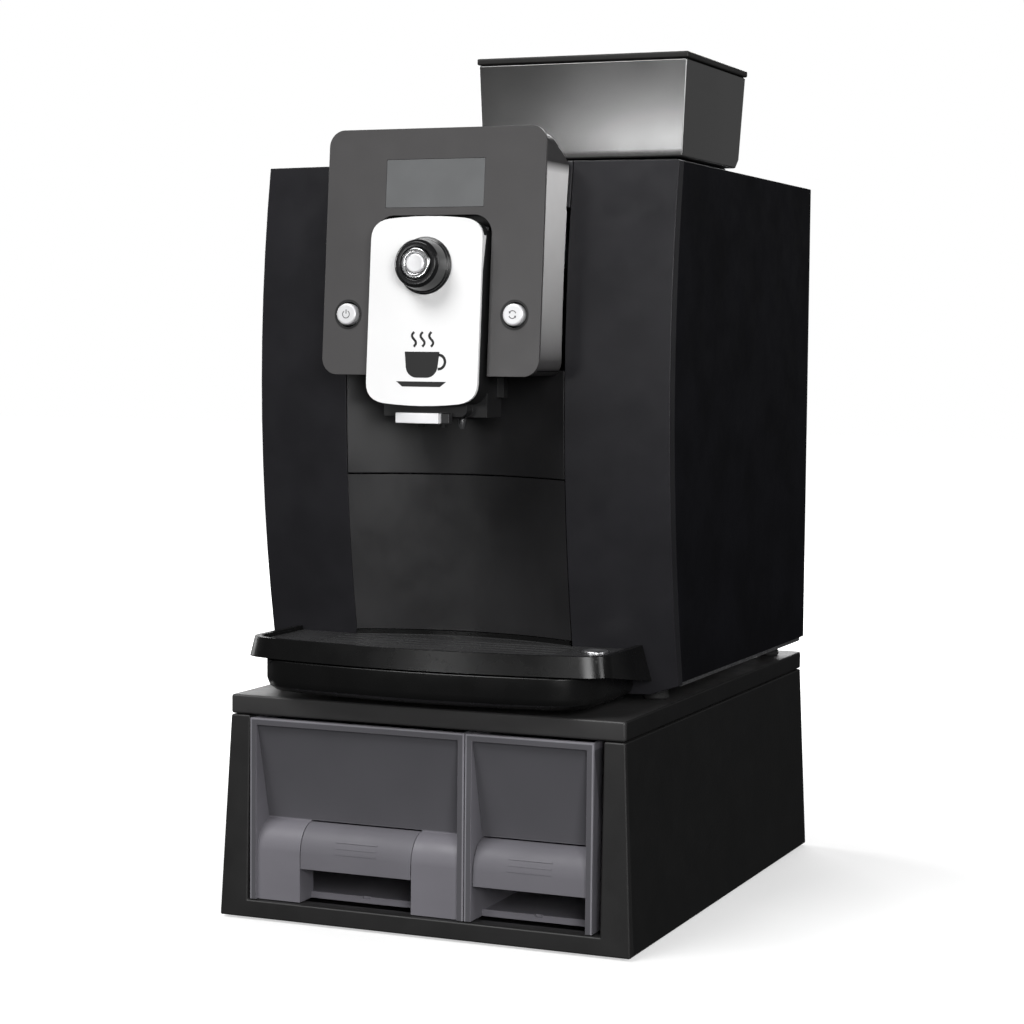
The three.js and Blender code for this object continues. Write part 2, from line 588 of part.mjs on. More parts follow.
// ---------------------------------------------------------------- drip tray and grounds container
function trayOutline(half, nose, back) {
  const bend = half - 17.5;
  const noseAt = (x) => nose + x ** 2 / (2 * TRAY_ARC_R);
  const slope = bend / TRAY_ARC_R;
  const arc = Array.from({ length: 13 }, (_, i) => -bend + (2 * bend * i) / 12);
  const shape = new THREE.Shape();
  shape.moveTo(-half, noseAt(bend) + 19.5);
  shape.quadraticCurveTo(-half, noseAt(bend) + slope * 17.5, -bend, noseAt(bend));
  arc.slice(1).forEach((x) => shape.lineTo(x, noseAt(x)));
  shape.quadraticCurveTo(half, noseAt(bend) + slope * 17.5, half, noseAt(bend) + 19.5);
  shape.lineTo(half, back);
  shape.lineTo(-half, back);
  return shape;
}

// Draws the rim in towards the back edge as it rises, so that its skirt flares out at the bottom.
function flared(geometry) {
  const corners = geometry.attributes.position;
  for (let i = 0; i < corners.count; i += 1) {
    const climb = (corners.getZ(i) - TRAY_SKIRT) / (TRAY_TOP - TRAY_SKIRT);
    const shrink = 1 - (TRAY_FLARE / TRAY_HALF) * climb;
    corners.setX(i, corners.getX(i) * shrink);
    corners.setY(i, TRAY_BACK + (corners.getY(i) - TRAY_BACK) * shrink);
  }
  return geometry;
}

function tub(inset) {
  const round = 13;
  const rise = 9;
  const shape = trayOutline(TUB_HALF - inset, TUB_NOSE + inset + 4, 90);
  const bowl = new THREE.ExtrudeGeometry(shape, {
    depth: 40, steps: 1, curveSegments: 4, bevelEnabled: true, bevelThickness: rise, bevelSize: round,
    bevelSegments: 3 });
  const turnedBowl = bowl.translate(0, 0, TUB_FOOT + inset + rise);
  return common(turnedBowl, block(-FAR, FAR, -FAR, 88, 100, TRAY_SKIRT - 1));
}

function buildTray() {
  const wall = 2.4;
  const wings = behind(fasciaAt, -0.8, BODY_HALF + 5, 120, 220);
  const tongueGap = block(-TONGUE_HALF, TONGUE_HALF, -FAR, FAR, 100, 300);
  const outer = join(
    cut(tub(0), cut(wings, tongueGap)),
    block(-TONGUE_HALF, TONGUE_HALF, 60, TONGUE_BACK, TUB_FOOT, TRAY_SKIRT - 1));
  const inner = join(
    cut(tub(wall), behind(fasciaAt, -0.8 - wall, BODY_HALF + 5, 120, 220)),
    block(-TONGUE_HALF + wall, TONGUE_HALF - wall, 50, TONGUE_BACK - wall, TUB_FOOT + wall,
      TRAY_SKIRT + 5));
  const open = block(-TUB_HALF - 4, TUB_HALF + 4, 10, 60, TRAY_SKIRT - 6, TRAY_SKIRT + 5);
  place('drip_tray', cut(outer, inner, open), blackPlastic);

  const rim = flared(alongZ(trayOutline(TRAY_HALF, TRAY_NOSE, TRAY_BACK), TRAY_APRON, TRAY_TOP, 5));
  const under = trayOutline(TRAY_HALF - 2.6, TRAY_NOSE + 2.6, TRAY_BACK + 5);
  const hollow = flared(alongZ(under, TRAY_APRON - 5, TRAY_PLATE - 2.6, 5));
  const plateEdge = trayOutline(TRAY_HALF - 6.5, TRAY_NOSE + 6.5, TRAY_BACK + 5);
  const well = alongZ(plateEdge, TRAY_PLATE, TRAY_TOP + 1, 5);
  const below = outline([
    [-FAR, 100], [TRAY_BACK + 10, 100], [TRAY_BACK + 10, TRAY_APRON], [80, TRAY_APRON], [4, TRAY_SKIRT],
    [-FAR, TRAY_SKIRT]]);
  const slots = Array.from({ length: 6 }, (_, i) => {
    const y = 3 + 11 * i;
    return alongZ(roundedRectangle(-86, 86, y, y + 4.6, 2.2), 180, 200, 3);
  });
  const bay = block(-BAY_HALF + 0.6, BAY_HALF - 0.6, -FAR, FAR, 100, 300);
  const upstand = curvedSheet(
    bayAt, -2.6, -0.6, -BAY_HALF + 0.6, BAY_HALF - 0.6, TRAY_PLATE - 1, BAY_FOOT - GAP, 12, 1);
  const plate = cut(
    cut(rim, hollow, well, alongX(below, -FAR, FAR)),
    cut(behind(fasciaAt, -0.8, BODY_HALF + 5, 120, 220), bay),
    behind(bayAt, -0.6, BAY_HALF, 120, 220),
    ...slots,
    rod(9.6, 150, 220, 20).translate(...FLOAT_AT, 0));
  place('tray_cover', join(plate, upstand), satinBlack);

  const float = turned([
    [0, 169], [8, 169], [8, 176], [3, 176], [3, 188.4], [9, 188.4], [9, 192.6], [8, 193.4], [0, 193.4]]);
  place('tray_float', float.translate(...FLOAT_AT, 0), steel);
}

function buildGroundsContainer() {
  const half = BAY_HALF - 10;
  const sheet = curvedSheet(bayAt, 0, 3, -BAY_HALF, BAY_HALF, BAY_FOOT, BAY_SPLIT - GAP, 14, 4);
  const tubOuter = cut(
    block(-half, half, 50, 190, BAY_FOOT + 1, BAY_SPLIT - 8),
    inFrontOf(bayAt, 1.5, BAY_HALF, 180, 320));
  const tubInner = cut(
    block(-half + 2.4, half - 2.4, 40, 187.6, BAY_FOOT + 3.6, BAY_SPLIT + 5),
    inFrontOf(bayAt, 3, BAY_HALF, 180, 320));
  place('grounds_container', cut(join(sheet, tubOuter), tubInner), satinBlack);
}

// ---------------------------------------------------------------- hopper and water tank
function buildHopper() {
  const { x0, x1, y0, y1, low, shoulder, top, lid } = HOPPER;
  const rimBox = [x0, x1, y0, y1];
  const waist = [x0 + 2.8, x1 - 2.8, y0 + 1.4, y1 - 5];
  const foot = [x0 + 3.2, x1 - 3.2, y0 + 1.7, y1 - 12];
  const base = [x0 + 9, x1 - 9, y0 + 8, y1 - 15];
  const throat = (r, z0, z1) => rod(r, z0, z1, 20).translate(...THROAT_AT, 0);
  const shell = cut(
    join(taperedBlock(waist, rimBox, shoulder, top), taperedBlock(foot, waist, low, shoulder),
      throat(30, 500, low + 2)),
    taperedBlock(grow(waist, -3), grow(rimBox, -3), shoulder + 3, top + 0.01),
    turned([[0, 490], [19, 490], [19, 518], [27, shoulder + 4], [0, shoulder + 4]])
      .translate(...THROAT_AT, 0));
  place('hopper_shell', shell, smokedGlass);

  const ring = cut(
    taperedBlock(grow(base, 3), grow(base, -1), BODY_TOP + GAP, low - GAP),
    taperedBlock(grow(base, -6), grow(base, -6), BODY_TOP - 5, low + 5));
  place('hopper_collar', ring, blackPlastic);

  const cap = join(
    taperedBlock(grow(rimBox, 1.2), grow(rimBox, 1.2), top + GAP, lid),
    cut(taperedBlock(grow(rimBox, -3.6), grow(rimBox, -3.6), top - 5, top + 1),
      taperedBlock(grow(rimBox, -5.8), grow(rimBox, -5.8), top - 6, top + GAP)));
  place('hopper_lid', cap, smokedGlass);
}

function buildTank() {
  const { x0, x1, y0, y1, low, high } = TANK;
  const tankBox = [x0, x1, y0, y1];
  const ear = (x) => block(x, x + 3, y1 - 6.5, y1, high - 4, BODY_TOP - 0.6);
  const tank = cut(
    join(
      cut(taperedBlock(tankBox, tankBox, low, high),
        taperedBlock(grow(tankBox, -2.5), grow(tankBox, -2.5), low + 3, high + 1)),
      ear(x0), ear(x1 - 3)),
    rodAlongX(1.9, x0 - 2, x1 + 2, ...TANK_HINGE, 12));
  place('water_tank', tank, clearTank);

  const middle = (x0 + x1) / 2;
  const grip = block(middle - 15, middle + 15, y0 + 6, y0 + 22, BODY_TOP - 3, BODY_TOP + 5);
  const earRoom = (x) => block(x, x + 4, y1 - 8, y1 + 1, high, BODY_TOP + 1);
  const lid = join(
    cut(block(x0, x1, y0, y1, high + 2, BODY_TOP), earRoom(x0 - 0.5), earRoom(x1 - 3.5), grip),
    rodAlongX(1.5, x0 + 0.8, x1 - 0.8, ...TANK_HINGE, 12));
  place('tank_lid', lid, satinBlack);
}

// ---------------------------------------------------------------- working parts inside
function buildGrinder() {
  const [x, y] = THROAT_AT;
  const at = (piece) => piece.translate(x, y, 0);
  const housing = cut(
    join(at(rod(38, 452, 494, 24)), block(x - 14, x + 14, y - 56, y - 20, 456, 478)),
    at(rod(33, 456, 500, 24)),
    at(rod(8, 440, 470, 16)),
    block(x - 11, x + 11, y - 53, y - 20, 458, 500),
    block(x - 11, x + 11, y - 53, y - 33, 440, 470));
  place('grinder_housing', housing, aluminium);
  const burr = at(turned([[0, 440], [5, 440], [5, 459], [31, 459], [31, 466], [12, 484], [0, 486]], 24));
  place('grinder_burr', burr, steel);
  const motor = cut(at(rod(26, 398, 450, 24)), at(rod(5.4, 436, 470, 16)));
  place('grinder_motor', motor, steel);
}

function buildBrewUnit() {
  const x = 20.5;
  const y = 262;
  const at = (piece) => piece.translate(x, y, 0);
  const frame = cut(
    block(x - 42, x + 42, y - 42, y + 42, 196, 340),
    block(x - 37, x + 37, y - 50, y + 37, 201, 335),
    at(rod(8, 330, 350, 16)));
  const cylinder = cut(at(rod(29, 200, 258, 24)), at(rod(25, 206, 300, 24)));
  place('brew_frame', join(frame, cylinder), blackPlastic);
  const crown = turned([[0, 210], [24.4, 210], [24.4, 226], [14, 230], [14, 294], [0, 294]], 24);
  const piston = cut(at(crown), at(rod(6.4, 224, 400, 16)));
  place('brew_piston', piston, glossWhite);
  const screw = at(turned([[0, 262], [6, 262], [6, 344.5], [22, 344.5], [22, 352], [0, 352]], 24));
  place('brew_screw', screw, brass);
  const motor = join(
    block(x + 44, x + 78, y - 17, y + 17, 300, 352),
    block(x + 42.5, x + 44.5, y - 20, y + 20, 296, 338));
  place('brew_motor', motor, steel);
}

function buildHydraulics() {
  const boiler = join(block(104, 144, 150, 232, 300, 370), rodAlongY(6, 231, 246, 124, 320, 12));
  place('boiler', boiler, aluminium);
  const pump = join(rodAlongY(19, 210, 262, 118, 208, 20), rodAlongY(7, 196, 276, 118, 208, 12));
  place('water_pump', pump, brass);
  const meter = join(rodAlongX(14, 100, 118, 300, 214, 16), rodAlongY(4, 300, 322, 109, 214, 10));
  place('flow_meter', meter, blackPlastic);
  place('control_board', block(141.5, 143.1, 110, 236, 385, 490), boardGreen);
  const route = new THREE.CatmullRomCurve3([
    [118, 195.4, 208], [118, 180, 208], [120, 160, 208], [122, 142, 208], [124, 132, 208], [124, 128, 208],
    [124, 124, 222], [124, 124, 250], [124, 124, 280], [124, 126, 306], [124, 136, 320], [124, 149.4, 320],
  ].map((stop) => new THREE.Vector3(...stop)));
  const ring = new THREE.Shape();
  ring.absarc(0, 0, 3.5, 0, 2 * Math.PI);
  place('water_hose', new THREE.ExtrudeGeometry(ring, {
    steps: 26, curveSegments: 4, bevelEnabled: false, extrudePath: route }), rubber);
}

function buildMains() {
  const [x, z] = INLET_AT;
  const inlet = cut(
    join(block(x - 13.6, x + 13.6, BODY_BACK - 22, BODY_BACK + 1, z - 9.6, z + 9.6),
      block(x - 17, x + 17, BODY_BACK + GAP, BODY_BACK + 2, z - 13, z + 13)),
    block(x - 11, x + 11, BODY_BACK - 14, BODY_BACK + 5, z - 7, z + 7));
  const pins = [x - 7, x, x + 7].map((pin) =>
    block(pin - 1, pin + 1, BODY_BACK - 16, BODY_BACK - 3, z - 2, z + 2));
  place('mains_inlet', join(inlet, ...pins), blackPlastic);

  const [sx, sz] = SWITCH_AT;
  const rocker = outline([[BODY_BACK - 8, sz - 6.5], [BODY_BACK + 1.2, sz - 6.7], [BODY_BACK + 0.2, sz],
    [BODY_BACK + 3, sz + 6.7], [BODY_BACK - 8, sz + 6.5]]);
  place('power_switch', alongX(rocker, sx - 8.7, sx + 8.7), blackPlastic);
}

buildBase();
buildBins();
buildFascia();
buildBayCover();
buildCasing();
buildDisplay();
buildHousing();
buildSpout();
buildKnob();
buildTray();
buildGroundsContainer();
buildHopper();
buildTank();
buildGrinder();
buildBrewUnit();
buildHydraulics();
buildMains();

export default assembly;
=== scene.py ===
# Looks for the hot coffee vending machine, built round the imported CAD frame. Metres, +Z up, the front faces -Y.
import json
import math

import bmesh
import bpy
from mathutils import Matrix, Vector


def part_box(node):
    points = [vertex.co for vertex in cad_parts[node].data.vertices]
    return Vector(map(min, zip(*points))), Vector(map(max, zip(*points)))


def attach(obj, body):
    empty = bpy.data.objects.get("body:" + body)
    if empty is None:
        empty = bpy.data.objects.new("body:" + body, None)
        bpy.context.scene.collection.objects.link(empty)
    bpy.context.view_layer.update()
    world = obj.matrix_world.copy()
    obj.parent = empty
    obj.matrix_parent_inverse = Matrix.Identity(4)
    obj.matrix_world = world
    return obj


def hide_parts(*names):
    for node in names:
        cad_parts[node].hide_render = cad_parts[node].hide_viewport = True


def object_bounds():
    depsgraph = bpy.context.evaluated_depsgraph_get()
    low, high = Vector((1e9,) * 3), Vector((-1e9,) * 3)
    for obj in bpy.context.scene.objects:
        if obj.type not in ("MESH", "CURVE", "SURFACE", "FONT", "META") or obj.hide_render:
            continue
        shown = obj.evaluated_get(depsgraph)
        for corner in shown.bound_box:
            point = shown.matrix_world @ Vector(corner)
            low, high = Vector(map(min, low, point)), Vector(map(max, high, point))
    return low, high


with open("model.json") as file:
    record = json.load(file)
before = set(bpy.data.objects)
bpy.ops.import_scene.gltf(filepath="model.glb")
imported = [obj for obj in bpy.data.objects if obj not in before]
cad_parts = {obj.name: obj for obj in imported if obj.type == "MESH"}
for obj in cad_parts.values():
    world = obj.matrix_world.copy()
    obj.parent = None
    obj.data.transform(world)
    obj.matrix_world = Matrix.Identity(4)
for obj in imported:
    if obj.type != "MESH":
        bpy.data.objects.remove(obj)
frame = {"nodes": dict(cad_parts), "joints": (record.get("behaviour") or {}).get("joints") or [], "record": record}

MM = 0.001
NODES = frame["nodes"]
CAD_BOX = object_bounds()
PRESS = {joint["name"]: Vector(joint["axis"]) for joint in frame["joints"]}["power_button_press"]
TRAY_ARC_R = 500 * MM  # radius of the bow of the tray's front edge
PRINT_AND_SHADE_HEIGHT = 0.12  # height of a printed or inlaid mark, and of the painted shade rings round the buttons, in millimetres
ROUND_SIDES = 96  # sides of a turned piece


# ---------------------------------------------------------------- materials
class Tree:
    """One material's node tree, with short calls to add nodes and join them."""

    def __init__(self, name):
        self.material = bpy.data.materials.new(name)
        self.material.use_nodes = True
        self.nodes = self.material.node_tree.nodes
        self.links = self.material.node_tree.links
        self.shader = self.nodes["Principled BSDF"]

    def put(self, node, key, value):
        if isinstance(value, bpy.types.NodeSocket):
            self.links.new(value, node.inputs[key])
        else:
            node.inputs[key].default_value = value

    def add(self, kind, **inputs):
        node = self.nodes.new(kind)
        for key, value in inputs.items():
            self.put(node, key.replace("_", " "), value)
        return node

    def place(self):
        """Where the surface is, in the object's own coordinates."""
        found = self.nodes.get("place") or self.add("ShaderNodeTexCoord")
        found.name = "place"
        return found.outputs["Object"]

    def axis(self, index):
        """One coordinate of that place."""
        found = self.nodes.get("axes") or self.add("ShaderNodeSeparateXYZ", Vector=self.place())
        found.name = "axes"
        return found.outputs[index]

    def noise(self, size, detail=3.0, stretch=(1, 1, 1)):
        """Noise from 0 to 1 whose blotches are about size metres wide, longer along the axes that stretch."""
        mapping = self.add("ShaderNodeMapping", Vector=self.place())
        mapping.inputs["Scale"].default_value = [1 / s for s in stretch]
        texture = self.add("ShaderNodeTexNoise", Vector=mapping.outputs[0], Scale=1 / size, Detail=detail)
        return texture.outputs["Fac"]

    def remap(self, value, low, high, start, end):
        """value from start..end, spread over low..high."""
        node = self.add("ShaderNodeMapRange", Value=value, From_Min=start, From_Max=end,
                        To_Min=low, To_Max=high)
        return node.outputs[0]

    def cloud(self, low, high, size, detail=3.0, stretch=(1, 1, 1)):
        """Noise spread softly over low..high, with no hard edges where it reaches them."""
        node = self.add("ShaderNodeMapRange", Value=self.noise(size, detail, stretch),
                        From_Min=0.3, From_Max=0.7, To_Min=low, To_Max=high)
        node.interpolation_type = "SMOOTHSTEP"
        return node.outputs[0]

    def blend(self, share, first, second):
        """A colour between first and second."""
        node = self.nodes.new("ShaderNodeMix")
        node.data_type = "RGBA"
        self.put(node, 0, share)
        for key, value in ((6, first), (7, second)):
            self.put(node, key, value if isinstance(value, bpy.types.NodeSocket) else (*value, 1))
        return node.outputs[2]

    def math(self, operation, first, second=0.0):
        node = self.nodes.new("ShaderNodeMath")
        node.operation = operation
        self.put(node, 0, first)
        self.put(node, 1, second)
        return node.outputs[0]

    def all_of(self, first, *others):
        """1 where every one of the masks is 1."""
        for other in others:
            first = self.math("MULTIPLY", first, other)
        return first

    def bump(self, height, distance, strength=1.0, over=None):
        node = self.add("ShaderNodeBump", Height=height, Distance=distance, Strength=strength)
        if over is not None:
            self.put(node, "Normal", over)
        return node.outputs[0]

    def finish(self, **inputs):
        for key, value in inputs.items():
            self.put(self.shader, key.replace("_", " "), value)
        return self.material


def shade(colour, factor):
    return tuple(min(1.0, c * factor) for c in colour)


def moulded(tree, colour, roughness, grain, grain_size=0.7 * MM, mottle=0.1, smudge=0.04, sink=0.12,
            **constants):
    """The surface of a moulding: cloudy colour, uneven gloss, a fine grain and a faint sink over larger areas.

    colour is a triple, or a colour already worked out by the tree's nodes.
    """
    clouds = tree.cloud(0, mottle * 2, 45 * MM, 4)
    if isinstance(colour, bpy.types.NodeSocket):
        base = tree.blend(clouds, colour, (0, 0, 0))
    else:
        base = tree.blend(clouds, shade(colour, 1 + mottle), (0, 0, 0))
    gloss = tree.cloud(roughness - smudge, roughness + smudge, 18 * MM, 5)
    wavy = tree.bump(tree.noise(70 * MM, 1), 0.2 * MM, sink)
    grained = tree.bump(tree.noise(grain_size, 2), 0.05 * MM, grain, over=wavy)
    return tree.finish(Base_Color=base, Roughness=gloss, Normal=grained, **constants)


def plastic(name, colour, roughness, grain, **details):
    return moulded(Tree(name), colour, roughness, grain, **details)


def smoked_bin(node):
    """Frosted smoke-tinted bin. Its sloping window is painted darker, and darker towards its top, as painted shade
    for the dark inside seen through it; a darker band runs round its front rim, and a pale line along the rim's
    outer edge is a painted highlight.
    """
    tree = Tree("smoked_" + node)
    low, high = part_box(node)
    foot, head = 68.5 * MM, 134.2 * MM  # heights between which the window slopes
    foot_depth, head_depth, rim = 19 * MM, 2.2 * MM, 0.5 * MM
    band_width, rim_highlight_width, lip_depth = 4.4 * MM, 1.1 * MM, 2.3 * MM
    climb = tree.remap(tree.axis(2), low.y + foot_depth, low.y + head_depth, foot, head)
    behind = tree.math("GREATER_THAN", tree.axis(1), tree.math("SUBTRACT", climb, rim))
    above = tree.math("GREATER_THAN", tree.axis(2), foot)
    below = tree.math("LESS_THAN", tree.axis(2), head)
    window = tree.all_of(behind, above, below)
    # painted shade: the window is darker than the rest, and darker still towards its top, for the dark inside of
    # the bin seen through it
    fade = tree.remap(tree.axis(2), 0, 0.28, foot, head)
    window_painted_shade = tree.blend(fade, (0.097, 0.095, 0.105), (0.05, 0.05, 0.056))
    milky = tree.blend(tree.cloud(0, 0.3, 30 * MM, 4, stretch=(2.5, 1, 1)), (0.172, 0.166, 0.186),
                       (0.135, 0.131, 0.147))
    aside = tree.math("ABSOLUTE", tree.math("SUBTRACT", tree.axis(0), (low.x + high.x) / 2))
    inwards = tree.math("MINIMUM", tree.math("SUBTRACT", (high.x - low.x) / 2, aside),
                        tree.math("SUBTRACT", high.z, tree.axis(2)))
    front = tree.math("LESS_THAN", tree.axis(1), low.y + lip_depth)
    band = tree.all_of(front, tree.math("LESS_THAN", inwards, band_width))
    # painted highlight: a pale line along the rim's outer edge, for the light its rounded edge catches
    rim_painted_highlight = tree.all_of(front, tree.math("LESS_THAN", inwards, rim_highlight_width))
    face = tree.blend(window, milky, window_painted_shade)
    face = tree.blend(band, face, (0.085, 0.083, 0.092))
    face = tree.blend(rim_painted_highlight, face, (0.21, 0.205, 0.225))
    return moulded(tree, face, 0.46, 0.22, grain_size=0.5 * MM, mottle=0.03, Transmission_Weight=0.04,
                   Specular_IOR_Level=0.3)


def smoked_hopper():
    """Dark, slightly warm gloss moulding. Its high IOR makes it reflect more than plain plastic does."""
    tree = Tree("smoked_hopper")
    depth = tree.cloud(0, 1, 60 * MM, 2, stretch=(1, 1, 2))
    base = tree.blend(depth, (0.015, 0.0146, 0.0142), (0.019, 0.0185, 0.018))
    gloss = tree.cloud(0.165, 0.185, 40 * MM)
    skin = tree.bump(tree.noise(0.4 * MM, 2), 0.02 * MM, 0.12)
    return tree.finish(Base_Color=base, Roughness=gloss, Normal=skin, IOR=2.1)


def clear_tank():
    """Clear tank moulding with flow marks."""
    tree = Tree("tank_clear")
    flow = tree.cloud(0, 1, 30 * MM, 4, stretch=(2.5, 1, 1))
    base = tree.blend(flow, (0.68, 0.73, 0.76), (0.78, 0.83, 0.86))
    gloss = tree.cloud(0.1, 0.2, 9 * MM, 5)
    skin = tree.bump(tree.noise(0.5 * MM, 2), 0.03 * MM, 0.05)
    return tree.finish(Base_Color=base, Roughness=gloss, Normal=skin, IOR=1.49, Transmission_Weight=0.9)


def housing_painted_highlight_finish():
    """Satin graphite moulding behind the display, under a black hood. Its flanks carry a painted highlight, pale
    near the top and fading to dark downwards.
    """
    tree = Tree("housing_satin_painted_highlight")
    low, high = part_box("display_housing")
    skin, hood_foot, hood_fade = 1.5 * MM, 26 * MM, 7 * MM
    dark_end, pale_end, fall = low.z + 10 * MM, high.z - 20 * MM, 0.65
    beside = tree.math("GREATER_THAN", tree.math("ABSOLUTE", tree.axis(0)), high.x - skin)
    below_hood = tree.remap(tree.axis(2), 1, 0, high.z - hood_foot, high.z - hood_foot + hood_fade)
    flank = tree.all_of(beside, below_hood)
    # painted highlight on the flanks: pale near the top, fading to dark towards the bottom
    climb = tree.math("POWER", tree.remap(tree.axis(2), 0, 1, dark_end, pale_end), fall)
    flank_painted_highlight = tree.blend(climb, (0.062, 0.06, 0.061), (0.87, 0.86, 0.86))
    return moulded(tree, tree.blend(flank, (0.035, 0.034, 0.035), flank_painted_highlight), 0.36, 0.1, mottle=0.04)


def plated(name, colour, roughness, streaks=0.0, stretch=(1, 1, 1), metal=1.0, uneven=0.35):
    """Bright or brushed metal: thin stretched streaks in its gloss and height, and faint smears."""
    tree = Tree(name)
    smear = tree.cloud(0, 1, 12 * MM, 4)
    base = tree.blend(smear, shade(colour, 0.93), colour)
    fine = tree.cloud(roughness * (1 - uneven), roughness * (1 + uneven), 0.8 * MM, 3, stretch)
    gloss = tree.math("ADD", fine, tree.math("MULTIPLY", smear, 0.04))
    brushed = tree.bump(tree.noise(0.8 * MM, 3, stretch), 0.02 * MM, streaks)
    return tree.finish(Base_Color=base, Roughness=gloss, Normal=brushed, Metallic=metal)


def display_glass():
    """Grey display window: a fine grid of cells under a clear cover."""
    tree = Tree("display_window")
    cell = 0.6 * MM
    lines = tree.math("MINIMUM", *(tree.math("PINGPONG", tree.axis(i), cell) for i in (0, 2)))
    grid = tree.remap(lines, 1, 0, 0, cell * 0.35)
    soft = tree.cloud(0, 0.5, 30 * MM)
    face = tree.blend(soft, (0.108, 0.111, 0.113), (0.122, 0.126, 0.129))
    face = tree.blend(tree.math("MULTIPLY", grid, 0.3), face, (0.1, 0.104, 0.106))
    gloss = tree.cloud(0.34, 0.42, 15 * MM, 4)
    return tree.finish(Base_Color=face, Roughness=gloss)


def circuit_board():
    """Green board with copper tracks under its solder mask."""
    tree = Tree("circuit_board")
    brick = tree.add("ShaderNodeTexBrick", Vector=tree.place(), Scale=90.0)
    brick.inputs["Color1"].default_value = (0.02, 0.12, 0.05, 1)
    brick.inputs["Color2"].default_value = (0.03, 0.16, 0.07, 1)
    brick.inputs["Mortar"].default_value = (0.07, 0.26, 0.11, 1)
    brick.inputs["Mortar Size"].default_value = 0.035
    raised = tree.bump(brick.outputs["Fac"], 0.05 * MM, 0.5)
    gloss = tree.cloud(0.3, 0.45, 6 * MM)
    return tree.finish(Base_Color=brick.outputs["Color"], Roughness=gloss, Normal=raised)


def floor_paint():
    """Pale studio floor that goes over into the white backdrop away from the object."""
    tree = Tree("studio_floor")
    away = tree.add("ShaderNodeVectorMath", Vector=tree.place())
    away.operation = "LENGTH"
    glow = tree.remap(away.outputs["Value"], 0.5, 1.1, 0.25, 1.1)
    base = tree.blend(tree.cloud(0, 1, 0.4), (0.5, 0.5, 0.5), (0.54, 0.54, 0.54))
    return tree.finish(Base_Color=base, Roughness=0.9, Specular_IOR_Level=0.1,
                       Emission_Color=(1, 1, 1, 1), Emission_Strength=glow)


def cabinet(name, front, sides):
    """Satin black cabinet moulding; its flanks are painted a shade darker than its front, as painted shade where
    less light falls.
    """
    tree = Tree(name)
    low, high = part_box("base_lid")
    skin, front_depth = 1 * MM, 3 * MM
    beside = tree.math("GREATER_THAN", tree.math("ABSOLUTE", tree.axis(0)), high.x - skin)
    behind = tree.math("GREATER_THAN", tree.axis(1), low.y + front_depth)
    flank = tree.all_of(beside, behind)
    # painted shade: the flanks take the darker colour given as sides
    face = tree.blend(flank, shade((1, 0.98, 0.985), front), (sides, sides, sides))
    return moulded(tree, face, 0.46, 0.25, Specular_IOR_Level=0.4)


def tray():
    """Gloss black tray with a lighter satin plate let into it."""
    tree = Tree("tray_black")
    low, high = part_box("tray_cover")
    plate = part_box("tray_float")[1].z - 1.1 * MM
    plate_depth, side_rim, front_rim = 1.6 * MM, 9.5 * MM, 4.5 * MM
    under = tree.math("LESS_THAN", tree.axis(2), plate)
    above = tree.math("GREATER_THAN", tree.axis(2), plate - plate_depth)
    inside = tree.math("LESS_THAN", tree.math("ABSOLUTE", tree.axis(0)), high.x - side_rim)
    bow = tree.math("DIVIDE", tree.math("MULTIPLY", tree.axis(0), tree.axis(0)), 2 * TRAY_ARC_R)
    behind = tree.math("GREATER_THAN", tree.math("SUBTRACT", tree.axis(1), bow), low.y + front_rim)
    sunk = tree.all_of(under, above, inside, behind)
    face = tree.blend(sunk, (0.006, 0.006, 0.006), (0.038, 0.038, 0.039))
    return moulded(tree, face, 0.27, 0.05, smudge=0.03, Specular_IOR_Level=0.3)


def lip():
    """Satin silver lip under the spout; the end block round the hot-water nozzle is dark."""
    tree = Tree("lip_satin")
    block_width = 5.4 * MM
    block = tree.math("GREATER_THAN", tree.axis(0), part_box("spout_lip")[1].x - block_width)
    face = tree.blend(block, (0.8, 0.8, 0.81), (0.02, 0.02, 0.021))
    return moulded(tree, face, 0.34, 0.1, mottle=0.04)


